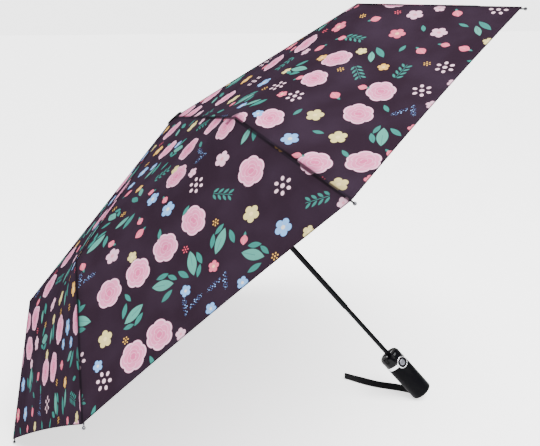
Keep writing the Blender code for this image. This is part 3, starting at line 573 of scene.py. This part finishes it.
def canopy_material():
    """Printed satin weave: print from the flat map; seam line with painted fold shadow, painted
    shade beside the seams, and hem from the edge map.
    """
    mat, w, shader = new_material("printed_canopy_cloth", PLUM[:3], 0.5)
    flat = w.put("ShaderNodeUVMap", uv_map="flat_print").outputs[0]
    edge = w.put("ShaderNodeUVMap", uv_map="edge_distance").outputs[0]
    colour = floral_print(w, flat)
    seam, hem, _ = w.split(edge)
    # a dark line along each seam, widened with painted shadow of the fold over the rib, and a wider
    # band of painted shade beside it
    seam_line_and_shadow = w.inside(w.sub(w.m("ABSOLUTE", seam), 0.0026), 0.0014)
    painted_seam_shade = w.m("SUBTRACT", 1.0, w.m("DIVIDE", w.m("ABSOLUTE", seam), 0.0110), clamp=True)
    hem_line = w.inside(w.sub(hem, 0.0014), 0.0008)
    turned = w.inside(w.m("ABSOLUTE", w.sub(hem, 0.0065)), 0.0007)
    colour = w.mix(w.mul(painted_seam_shade, 0.55), colour, SEAM_SHADE)
    colour = w.mix(w.mul(seam_line_and_shadow, 0.88), colour, SEAM_AND_FOLD_SHADOW)
    colour = w.mix(w.mul(hem_line, 0.75), colour, SEAM_SHADE)
    colour = w.mix(w.mul(turned, 0.22), colour, SEAM_SHADE)
    tone = w.noise(flat, 16.0, 2.0)
    colour = w.mix(w.m("MULTIPLY", w.sub(tone, 0.42), 0.55, clamp=True), colour, CLOTH_BLOOM)
    side = w.split(w.put("ShaderNodeUVMap", uv_map="cloth_side").outputs[0])[0]
    colour = w.mix(w.mul(side, 0.62), colour, CLOTH_BACK)
    w.join(colour, shader.inputs["Base Color"])
    w.join(w.add(0.40, w.mul(w.noise(flat, 60.0, 2.0), 0.22)), shader.inputs["Roughness"])
    shader.inputs["Sheen Weight"].default_value = 0.01
    shader.inputs["Sheen Roughness"].default_value = 0.45
    shader.inputs["Sheen Tint"].default_value = (0.62, 0.46, 0.74, 1)
    shader.inputs["Specular IOR Level"].default_value = 0.0
    fx, fy, _ = w.split(flat)
    pitch = 2 * math.pi / WEAVE
    warp = w.add(w.m("SINE", w.mul(fx, pitch)), w.m("SINE", w.mul(fy, pitch)))
    pull = w.noise(w.vector(w.mul(fx, 1.0), w.mul(fy, 0.22)), 34.0, 2.0)
    near_seam = w.m("SUBTRACT", 1.0, w.m("DIVIDE", w.m("ABSOLUTE", seam), 0.020), clamp=True)
    near_hem = w.m("SUBTRACT", 1.0, w.m("DIVIDE", hem, 0.018), clamp=True)
    pucker = w.noise(w.vector(w.mul(fx, 0.7), w.mul(fy, 0.7)), 150.0, 1.0)
    height = w.add(w.mul(warp, 0.006), w.mul(pull, 1.0))
    height = w.add(height, w.mul(w.mul(pucker, w.m("MAXIMUM", near_seam, near_hem)), 0.35))
    height = w.add(height, w.mul(turned, -0.12))
    add_bump(w, shader, height, 0.45, 0.004)
    return mat


def grained(name, base, roughness, metallic, scale, depth, spread=0.15, gleam=0.5):
    """A moulded, lacquered or plated finish with fine grain and slight wear."""
    mat, w, shader = new_material(name, base, roughness, metallic)
    place = w.put("ShaderNodeTexCoord").outputs["Object"]
    grain = w.use(GRAIN, Vector=place, Scale=scale)
    lighter = tuple(min(1.0, c * 1.6 + 0.0015) for c in base) + (1,)
    w.join(w.mix(w.mul(grain["Wear"], 0.35), (*base, 1), lighter), shader.inputs["Base Color"])
    rough = w.add(roughness - spread / 2, w.mul(grain["Wear"], spread))
    w.join(rough, shader.inputs["Roughness"])
    shader.inputs["Specular IOR Level"].default_value = gleam
    add_bump(w, shader, grain["Grain"], 0.35, depth)
    return mat


CLOTH = canopy_material()
# name, colour, roughness, metallic, grain scale, grain depth
RUBBER = grained(
    "soft_touch_rubber", (0.0012, 0.0012, 0.0018), 0.40, 0.0, 2200.0, 0.00006, gleam=0.035
)
GLOSS = grained(
    "moulded_gloss_black", (0.0010, 0.0010, 0.0016), 0.14, 0.0, 600.0, 0.00001,
    spread=0.08, gleam=0.11,
)
LACQUER = grained(
    "black_lacquered_metal", (0.0012, 0.0012, 0.0018), 0.24, 0.0, 900.0, 0.00001,
    spread=0.12, gleam=0.07,
)
PLATED = grained(
    "bright_plating", (0.78, 0.78, 0.80), 0.12, 1.0, 500.0, 0.000004, spread=0.08
)
ZINC = grained(
    "zinc_plated_steel", (0.07, 0.07, 0.077), 0.38, 1.0, 1100.0, 0.00001, spread=0.16
)
SATIN = grained(
    "satin_grey_button", (0.16, 0.16, 0.185), 0.24, 0.6, 700.0, 0.00001, spread=0.10
)


def strap_material():
    """Black ribbon with a fine cross rib, on its own length-and-width map."""
    mat, w, shader = new_material("black_ribbon", (0.0065, 0.0065, 0.0072), 0.75)
    run = w.put("ShaderNodeUVMap", uv_map="ribbon").outputs[0]
    along, across, _ = w.split(run)
    ribs = w.m("SINE", w.mul(along, 2 * math.pi / WEAVE))
    edge = w.m("SINE", w.mul(across, 2 * math.pi / SELVEDGE))
    speck = w.noise(run, 900.0, 2.0)
    colour = w.mix(w.mul(speck, 0.5), (0.0010, 0.0010, 0.0014, 1), (0.0050, 0.0050, 0.0062, 1))
    w.join(colour, shader.inputs["Base Color"])
    shader.inputs["Sheen Weight"].default_value = 0.05
    shader.inputs["Specular IOR Level"].default_value = 0.12
    add_bump(w, shader, w.add(w.mul(ribs, 0.5), w.mul(edge, 0.2)), 0.6, 0.0001)
    return mat


RIBBON = strap_material()

# ---------------------------------------------------------------- wrist strap
STRAP_W = 0.0100
STRAP_T = 0.0010
STRAP_GAP = 0.0008
STRAP_LIFT = 0.0003
STRAP_LEAN = math.radians(42)        # how far the ribbon tips over on its way
STANDS_UP = 0.93                     # share of the way where it is upright again
LUG_OUT = 0.0042
LUG_GAP = 0.0016
ANCHOR_AZ = math.radians(146.0)      # the lug's turn round the handle
ANCHOR_REACH = HANDLE_R + LUG_OUT + LUG_GAP
ANCHOR_UP = 0.0050
ANCHOR = TO_ROW @ Vector(
    (ANCHOR_REACH * math.cos(ANCHOR_AZ), ANCHOR_REACH * math.sin(ANCHOR_AZ), ANCHOR_UP)
)
STRAP_ROUTE = [
    (0.0, 0.0), (-0.0150, 0.0075), (-0.0330, 0.0140), (-0.0560, 0.0215), (-0.0800, 0.0320),
    (-0.1040, 0.0460),
]


def smooth_route(points, steps):
    """Catmull-Rom curve through the route points."""
    ends = [points[0]] + points + [points[-1]]
    out = []
    for i in range(1, len(ends) - 2):
        p0, p1, p2, p3 = (Vector(p) for p in ends[i - 1:i + 3])
        for k in range(steps):
            t = k / steps
            first = 2 * p1 + (p2 - p0) * t
            second = (2 * p0 - 5 * p1 + 4 * p2 - p3) * t * t
            third = (3 * p1 - p0 - 3 * p2 + p3) * t ** 3
            out.append((first + second + third) / 2)
    out.append(Vector(points[-1]))
    return out


def face_outwards(obj):
    """A closed shell's faces turned outwards and shaded smooth."""
    shell = bmesh.new()
    shell.from_mesh(obj.data)
    bmesh.ops.recalc_face_normals(shell, faces=shell.faces)
    shell.to_mesh(obj.data)
    shell.free()
    obj.data.shade_smooth()


def mesh_object(name, verts, faces, material, maps=None):
    """A new object at the origin; maps gives each UV map's value for every vertex."""
    mesh = bpy.data.meshes.new(name)
    mesh.from_pydata([tuple(v) for v in verts], [], faces)
    mesh.update()
    for label, values in (maps or {}).items():
        layer = mesh.uv_layers.new(name=label)
        for loop in mesh.loops:
            layer.data[loop.index].uv = values[loop.vertex_index]
    obj = bpy.data.objects.new(name, mesh)
    bpy.context.collection.objects.link(obj)
    mesh.materials.append(material)
    return obj


def ribbon_loop():
    """The strap's ribbon: out along the route and back, on its edge and tipped over mid-way."""
    centre = smooth_route(STRAP_ROUTE, 8)
    middle = (STRAP_GAP + STRAP_T) / 2
    sides = []
    for sign in (1, -1):
        line = []
        for k, point in enumerate(centre):
            ahead = centre[min(k + 1, len(centre) - 1)] - centre[max(k - 1, 0)]
            side = Vector((-ahead.y, ahead.x)).normalized()
            line.append(point + side * middle * sign)
        sides.append(line)
    ahead = (centre[-1] - centre[-2]).normalized()
    side = Vector((-ahead.y, ahead.x))
    turn = []
    bend_steps = 8
    for k in range(1, bend_steps):
        a = math.pi * k / bend_steps
        turn.append(centre[-1] + side * middle * math.cos(a) + ahead * middle * math.sin(a))
    path = sides[0] + turn + list(reversed(sides[1]))
    half_t = STRAP_T / 2
    half_w = STRAP_W / 2
    section = []
    corners = 12
    squareness = 0.45
    for k in range(corners):
        a = 2 * math.pi * k / corners
        bulge_x = math.copysign(abs(math.cos(a)) ** squareness, math.cos(a))
        bulge_z = math.copysign(abs(math.sin(a)) ** squareness, math.sin(a))
        section.append((half_t * bulge_x, half_w * bulge_z))
    verts = []
    flat = []
    travelled = 0.0
    reach = (centre[-1] - centre[0]).length
    for k, point in enumerate(path):
        ahead = (path[min(k + 1, len(path) - 1)] - path[max(k - 1, 0)]).normalized()
        side = Vector((-ahead.y, ahead.x))
        if k:
            travelled += (point - path[k - 1]).length
        away = side if side.y > 0 else -side
        share = min(1.0, (point - centre[0]).length / reach)
        lean = 0.0
        if share < STANDS_UP:
            lean = STRAP_LEAN * math.sin(math.pi * min(1.0, share / STANDS_UP)) ** 1.5
        level = STRAP_LIFT + half_w * math.cos(lean) + half_t * math.sin(lean)
        for across, high in section:
            toward = across if side.y > 0 else -across
            out = toward * math.cos(lean) + high * math.sin(lean)
            spot = point + away * out
            up = level + high * math.cos(lean) - toward * math.sin(lean)
            verts.append((spot.x + ANCHOR.x, spot.y + ANCHOR.y, up))
            flat.append((travelled, high))
    faces = []
    ring = len(section)
    for k in range(len(path) - 1):
        for j in range(ring):
            n = (j + 1) % ring
            faces.append((k * ring + j, (k + 1) * ring + j, (k + 1) * ring + n, k * ring + n))
    last = (len(path) - 1) * ring
    faces.append(tuple(range(ring)))
    faces.append(tuple(last + j for j in reversed(range(ring))))
    obj = mesh_object("wrist_strap_ribbon", verts, faces, RIBBON, {"ribbon": flat})
    face_outwards(obj)
    return obj, travelled


strap, strap_length = ribbon_loop()
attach(strap, "handle")
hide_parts("wrist_strap")


# --------------------------------------------------------------------- canopy
def rib_profile(t):
    """Rib line of the cloth: t 0 at the hub, 1 at the outer knee, 2 at the corner."""
    if t <= 1:
        return CAP_R + (BEND_R - CAP_R) * t, HUB_Z + (BEND_Z - HUB_Z) * t
    s = t - 1
    return BEND_R + (CORNER_R - BEND_R) * s, BEND_Z + (CORNER_Z - BEND_Z) * s


KNEE_T = (KNEE_R - CAP_R) / (BEND_R - CAP_R)
OUTER_RUN = math.hypot(CORNER_R - BEND_R, CORNER_Z - BEND_Z)
KNEE_ROUNDING = 0.30     # how far along the rib line the middle of a panel is averaged
PANEL_SAG = 0.0030


def softened_profile(t, reach):
    """The rib line averaged over a stretch, so a panel rounds its knee away from the rib."""
    if reach < 1e-6:
        return rib_profile(t)
    total_r = 0.0
    total_z = 0.0
    count = 9
    for k in range(count):
        offset = reach * (2 * k / (count - 1) - 1)
        r, z = rib_profile(min(max(t + offset, 0.0), 2.0))
        total_r += r
        total_z += z
    return total_r / count, total_z / count


def cloth_point(panel, share, t):
    """Point in the umbrella's axes: share 0 and 1 are the panel's two ribs."""
    bow = 4 * share * (1 - share)
    if t > 1:
        t = 1 + (t - 1) * (1 - HEM_SCALLOP * bow / OUTER_RUN)
    reach = KNEE_ROUNDING * bow * min(1.0, t / 0.5) * min(1.0, max(0.0, 2 - t) / 0.5)
    radius, height = softened_profile(t, reach)
    a0 = FIRST_RIB + 2 * math.pi * panel / RIBS
    a1 = a0 + 2 * math.pi / RIBS
    x = radius * (math.cos(a0) * (1 - share) + math.cos(a1) * share)
    y = radius * (math.sin(a0) * (1 - share) + math.sin(a1) * share)
    sag = PANEL_SAG * bow * min(1.0, t) * (0.4 + 0.6 * math.sin(math.pi * min(t, 2) / 2))
    lean = SLOPE if t <= 1 else OUTER_SLOPE
    middle = (a0 + a1) / 2
    x -= sag * math.sin(lean) * math.cos(middle)
    y -= sag * math.sin(lean) * math.sin(middle)
    return Vector((x, y, height - sag * math.cos(lean)))


def cloth_normal(panel, share, t):
    """The cloth's outer normal, in the umbrella's axes."""
    step = 0.01
    s0, s1 = max(share - step, 0), min(share + step, 1)
    t0, t1 = max(t - step, 0), min(t + step, 2)
    across = cloth_point(panel, s1, t) - cloth_point(panel, s0, t)
    along = cloth_point(panel, share, t1) - cloth_point(panel, share, t0)
    normal = along.cross(across).normalized()
    return normal if normal.z > 0 else -normal


# lengths down the middle of a panel, which carry the print without stretch
MID_LINE = [0.0]
LINE_STEPS = 80
previous = cloth_point(0, 0.5, 0)
for k in range(1, LINE_STEPS + 1):
    point = cloth_point(0, 0.5, 2 * k / LINE_STEPS)
    MID_LINE.append(MID_LINE[-1] + (point - previous).length)
    previous = point


def down_cloth(t):
    """Length from the hub down the middle of a panel to station t."""
    place = t / 2 * LINE_STEPS
    k = min(int(place), LINE_STEPS - 1)
    return MID_LINE[k] + (MID_LINE[k + 1] - MID_LINE[k]) * (place - k)


CORNER_LENGTH = down_cloth(2.0)
# each part of a panel: its rib section, where it starts and ends, rows of faces, the share of
# its width that is left when folded, and its bodies
SEGMENTS = (
    ("inner", 0.0, KNEE_T, 8, 0.14, "inner_"),
    ("middle", KNEE_T, 1.0, 9, 0.072, "middle_"),
    ("outer", 1.0, 2.0, 12, 0.058, "outer_"),
)
COLUMNS = 10
OWN_NORMAL = 0.72        # share of a panel's own normal where it meets the next at a rib
PRINT_ACROSS = 0.137     # the print's shift from panel to panel, so no two are alike
PRINT_DOWN = 0.211
PRINT_START = 0.05


def cloth_piece(rib, hand, label, t_low, t_high, rows):
    """Half of a panel, from its rib to its middle, between two stations of the rib."""
    panel = rib if hand > 0 else (rib - 1) % RIBS
    grid = []
    for r in range(rows + 1):
        t = t_low + (t_high - t_low) * r / rows
        line = []
        for c in range(COLUMNS + 1):
            half = 0.5 * c / COLUMNS
            share = half if hand > 0 else 1 - half
            point = cloth_point(panel, share, t)
            normal = cloth_normal(panel, share, t)
            if c == 0:
                other = cloth_normal((panel - hand) % RIBS, 1 - share, t)
                normal = (normal * OWN_NORMAL + other * (1 - OWN_NORMAL)).normalized()
            radius, height = rib_profile(t)
            width = radius * 2 * math.sin(math.pi / RIBS)
            flat = (
                (share - 0.5) * width + PRINT_ACROSS * panel + PRINT_START,
                down_cloth(t) + PRINT_DOWN * panel,
            )
            edge = (half * width, CORNER_LENGTH - down_cloth(t))
            line.append((point, normal, flat, edge))
        grid.append(line)
    verts = []
    normals = []
    flats = []
    edges = []
    sides = []
    for drop in (0.0, CLOTH_T):
        for line in grid:
            for point, normal, flat, edge in line:
                spot = TO_ROW @ (point - normal * drop)
                verts.append(spot)
                turned = (TO_ROW.to_3x3() @ normal).normalized()
                normals.append(turned if drop == 0 else -turned)
                flats.append(flat)
                edges.append(edge)
                sides.append((1.0 if drop else 0.0, 0.5))
    wide = COLUMNS + 1
    layer = wide * (rows + 1)
    faces = []
    for r in range(rows):
        for c in range(COLUMNS):
            start = r * wide + c
            quad = (start, start + 1, start + wide + 1, start + wide)
            faces.append(quad)
            faces.append(tuple(layer + v for v in reversed(quad)))
    rim = [c for c in range(wide)]
    rim += [r * wide + COLUMNS for r in range(1, rows + 1)]
    rim += [rows * wide + c for c in range(COLUMNS - 1, -1, -1)]
    rim += [r * wide for r in range(rows - 1, 0, -1)]
    for k, start in enumerate(rim):
        end = rim[(k + 1) % len(rim)]
        faces.append((end, start, layer + start, layer + end))
    name = "cloth_" + label + "_" + str(rib + 1) + ("_left" if hand > 0 else "_right")
    maps = {"flat_print": flats, "edge_distance": edges, "cloth_side": sides}
    obj = mesh_object(name, verts, faces, CLOTH, maps)
    mesh = obj.data
    if mesh.polygons[0].normal.dot(normals[0]) < 0:
        mesh.flip_normals()
    mesh.shade_smooth()
    custom = []
    for poly in mesh.polygons:
        layers = {v // layer for v in poly.vertices}
        for index in poly.loop_indices:
            vertex = mesh.loops[index].vertex_index
            custom.append(poly.normal.copy() if len(layers) == 2 else normals[vertex])
    mesh.normals_split_custom_set(custom)
    return obj


for rib in range(RIBS):
    for label, t_low, t_high, rows, keep, body in SEGMENTS:
        for hand in (1, -1):
            piece = cloth_piece(rib, hand, label, t_low, t_high, rows)
            panel = rib if hand > 0 else (rib - 1) % RIBS
            rib_a = cloth_point(panel, 0 if hand > 0 else 1, t_low)
            rib_b = cloth_point(panel, 0 if hand > 0 else 1, t_high)
            middle = cloth_point(panel, 0.5, (t_low + t_high) / 2)
            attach(piece, body + str(rib + 1))
            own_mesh(piece)


HUB_HOLE_R = 0.0062
HUB_MIDDLE_R = 0.0100


def hub_cloth():
    """The cloth's middle, gathered under the cap: a flat ring out to where the panels start."""
    per_panel = 8
    around = RIBS * per_panel
    verts = []
    flats = []
    edges = []
    sides = []
    rings = []
    for drop in (0.0, CLOTH_T):
        for radius in (HUB_HOLE_R, HUB_MIDDLE_R, None):
            ring = []
            for k in range(around):
                panel = k // per_panel
                share = (k % per_panel) / per_panel
                if radius is None:
                    spot = cloth_point(panel, share, 0.0)
                else:
                    a = FIRST_RIB + 2 * math.pi * k / around
                    spot = Vector((radius * math.cos(a), radius * math.sin(a), HUB_Z))
                ring.append(len(verts))
                verts.append(TO_ROW @ (spot - Vector((0, 0, drop))))
                flats.append((spot.x + 0.3, spot.y + 0.3))
                edges.append((0.05, 0.2))
                sides.append((1.0 if drop else 0.0, 0.5))
            rings.append(ring)
    faces = []
    for low, high in ((0, 1), (1, 2), (3, 4), (4, 5), (0, 3), (2, 5)):
        for k in range(around):
            n = (k + 1) % around
            faces.append((rings[low][k], rings[low][n], rings[high][n], rings[high][k]))
    maps = {"flat_print": flats, "edge_distance": edges, "cloth_side": sides}
    obj = mesh_object("cloth_hub", verts, faces, CLOTH, maps)
    face_outwards(obj)
    obj.data.set_sharp_from_angle(angle=math.radians(40))
    return obj


hub = hub_cloth()
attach(hub, "canopy_head")
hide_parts("canopy")

# ------------------------------------------------------ finishes of CAD pieces
FINISH = {
    "tube_lower": LACQUER, "tube_middle": LACQUER, "tube_upper": LACQUER,
    "crown": GLOSS, "crown_cap": GLOSS, "crown_wire": ZINC, "runner": GLOSS, "runner_wire": ZINC,
    "handle_grip": RUBBER, "handle_collar": GLOSS, "trim_band": PLATED, "handle_end_cap": GLOSS,
    "button_bezel": PLATED, "button_ring": GLOSS, "button": SATIN, "button_spring": ZINC,
    "strap_lug": GLOSS,
}
for rib in range(RIBS):
    for kind, finish in (
        ("inner_rib_", LACQUER), ("middle_rib_", LACQUER), ("stretcher_", LACQUER),
        ("control_link_", ZINC), ("outer_rib_", ZINC),
    ):
        FINISH[kind + str(rib + 1)] = finish
for node, finish in FINISH.items():
    obj = bpy.data.objects[node]
    if not obj.material_slots:
        obj.data.materials.append(finish)
    for socket in obj.material_slots:
        socket.material = finish


# ------------------------------------------------- handle and shaft, finished
HARD_EDGE = math.radians(32)
FLAT_ENOUGH = math.radians(0.6)
WELD = 0.00001


def finished_copy(node, body, edge, steps):
    """The node's shape again as one welded skin: hard edges eased, round faces smooth."""
    source = bpy.data.objects[node]
    deselect()
    copy = source.copy()
    copy.data = source.data.copy()
    for key in list(copy.keys()):
        del copy[key]
    copy.name = node + "_finished"
    bpy.context.collection.objects.link(copy)
    copy.select_set(True)
    bpy.context.view_layer.objects.active = copy
    bpy.ops.object.mode_set(mode="EDIT")
    bpy.ops.mesh.select_all(action="SELECT")
    bpy.ops.mesh.remove_doubles(threshold=WELD)
    bpy.ops.mesh.dissolve_limited(angle_limit=FLAT_ENOUGH)
    bpy.ops.object.mode_set(mode="OBJECT")
    if edge:
        bpy.ops.object.modifier_add(type="BEVEL")
        ease = copy.modifiers[-1]
        ease.limit_method = "ANGLE"
        ease.angle_limit = HARD_EDGE
        ease.width = edge
        ease.segments = steps
        ease.use_clamp_overlap = True
        bpy.ops.object.modifier_apply(modifier=ease.name)
    bpy.ops.object.shade_smooth_by_angle(angle=HARD_EDGE)
    copy.data.materials.clear()
    copy.data.materials.append(FINISH[node])
    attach(copy, body)
    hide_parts(node)
    return copy


# node, body, slot, width of the eased edges, steps in them
for node, body, slot_name, edge, steps in (
    ("handle_grip", "handle", "matte_black", 0.00030, 2),
    ("trim_band", "handle", "chrome", 0.00020, 2),
    ("handle_collar", "handle", "gloss_black", 0.00035, 2),
    ("handle_end_cap", "handle", "gloss_black", 0.00030, 2),
    ("button_bezel", "handle", "chrome", 0.00025, 2),
    ("button_ring", "handle", "gloss_black", 0.00010, 2),
    ("tube_lower", "handle", "black_metal", 0.0, 2),
    ("tube_middle", "middle_tube", "black_metal", 0.0, 2),
    ("tube_upper", "canopy_head", "black_metal", 0.0, 2),
    ("crown_cap", "canopy_head", "gloss_black", 0.00040, 3),
    ("crown", "canopy_head", "gloss_black", 0.0, 2),
    ("runner", "runner", "gloss_black", 0.0, 2),
    ("button", "button", "button_grey", 0.00045, 4),
):
    finished_copy(node, body, edge, steps)

# ------------------------------------------------------------ floor and lights
FLOOR_GLOW = 1.5
ROOM_LIGHT = 0.55        # how brightly the surroundings light the umbrella
BACKDROP_EXTRA = 3.0     # how much brighter they look behind it
deselect()
bpy.ops.mesh.primitive_plane_add(size=24, location=(0, 4, 0))
floor = bpy.context.object
floor.name = "studio_floor"
floor_mat, floor_wires, floor_shader = new_material("pale_floor", (0.93, 0.93, 0.93), 0.9)
floor_tone = floor_wires.noise(floor_wires.put("ShaderNodeTexCoord").outputs["Object"], 3.0, 2.0)
floor_colour = floor_wires.mix(floor_tone, (0.925, 0.925, 0.925, 1), (0.935, 0.935, 0.935, 1))
floor_wires.join(floor_colour, floor_shader.inputs["Base Color"])
floor_shader.inputs["Emission Color"].default_value = (1, 1, 1, 1)
floor_shader.inputs["Emission Strength"].default_value = FLOOR_GLOW
floor_shader.inputs["Specular IOR Level"].default_value = 0.1
floor.data.materials.append(floor_mat)

world = bpy.data.worlds.new("studio_light")
bpy.context.scene.world = world
world.use_nodes = True
sky = Wiring(world.node_tree)
seen = sky.put("ShaderNodeLightPath").outputs["Is Camera Ray"]
backdrop = world.node_tree.nodes["Background"]
backdrop.inputs["Color"].default_value = (1.0, 1.0, 1.0, 1)
sky.join(sky.add(ROOM_LIGHT, sky.mul(seen, BACKDROP_EXTRA)), backdrop.inputs["Strength"])


def soft_light(name, place, target, size, power):
    """A square lamp that faces the target."""
    data = bpy.data.lights.new(name, "AREA")
    data.energy = power
    data.shape = "RECTANGLE"
    data.size = size
    data.size_y = size
    lamp = bpy.data.objects.new(name, data)
    bpy.context.collection.objects.link(lamp)
    lamp.location = place
    lamp.rotation_euler = (Vector(target) - Vector(place)).to_track_quat("-Z", "Y").to_euler()


soft_light("overhead_softbox", (0.5, -0.3, 2.6), (0.0, 0.0, 0.2), 1.8, 60)
soft_light("front_softbox", (1.4, -2.2, 1.6), (0.1, 0.0, 0.25), 1.4, 24)

sun_data = bpy.data.lights.new("wide_soft_light", "SUN")
sun_data.energy = 8.0
sun_data.angle = math.radians(50)
sun = bpy.data.objects.new("wide_soft_light", sun_data)
bpy.context.collection.objects.link(sun)
sun.rotation_euler = Vector((-0.35, 0.45, -1.0)).to_track_quat("-Z", "Y").to_euler()
